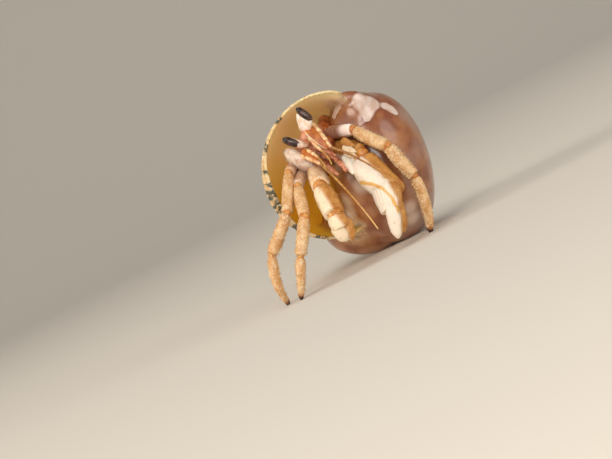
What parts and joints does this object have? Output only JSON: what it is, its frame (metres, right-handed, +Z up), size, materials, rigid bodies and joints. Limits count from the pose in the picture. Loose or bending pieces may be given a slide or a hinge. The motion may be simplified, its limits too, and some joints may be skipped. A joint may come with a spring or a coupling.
{
  "type": "hermit crab",
  "caption": "Life-size still model of a young land hermit crab leaning out of a glossy rounded snail shell, standing on its walking legs and the shell.",
  "frame": {"origin": "on the floor under the middle of the model's bounding box", "axes": "+Z up from the floor, -Y is the way the crab faces out of its shell, and the shell's body bulges towards +X"},
  "size_m": [0.0198, 0.021, 0.0173],
  "materials": {
    "shell": "glossy taupe and purple-brown snail shell with cream patches and dark dashes on its lip",
    "flesh": "moist soft pinkish skin",
    "leg": "cream and orange horny plates with fine granules",
    "claw": "cream to gold-brown horny plates with coarse granules",
    "eyestalk": "smooth white",
    "eye": "polished dark brown",
    "feeler": "ringed amber horn"
  },
  "bodies": {
    "root": {"shell": "shell", "carapace": "flesh", "gill_cover_left": "flesh", "gill_cover_right": "flesh", "abdomen": "flesh", "claw_left_merus": "claw", "claw_left_carpus": "claw", "claw_left_palm": "claw", "claw_left_dactyl": "claw", "claw_right_merus": "claw", "claw_right_carpus": "claw", "claw_right_palm": "claw", "claw_right_dactyl": "claw", "leg2_left_merus": "leg", "leg2_left_carpus": "leg", "leg2_left_propodus": "leg", "leg2_left_dactyl": "leg", "leg2_right_merus": "leg", "leg2_right_carpus": "leg", "leg2_right_propodus": "leg", "leg2_right_dactyl": "leg", "leg3_left_merus": "leg", "leg3_left_carpus": "leg", "leg3_left_propodus": "leg", "leg3_left_dactyl": "leg", "leg3_right_merus": "leg", "leg3_right_carpus": "leg", "leg3_right_propodus": "leg", "leg3_right_dactyl": "leg", "cornea_left": "eye", "eyestalk_left": "eyestalk", "maxilliped_left": "flesh", "cornea_right": "eye", "eyestalk_right": "eyestalk", "maxilliped_right": "flesh", "antenna_left_stem": "feeler", "antenna_left_whip": "feeler", "antenna_right_stem": "feeler", "antenna_right_whip": "feeler", "antennule_left_stem": "feeler", "antennule_left_whip": "feeler", "antennule_right_stem": "feeler"}
  },
  "joints": []
}
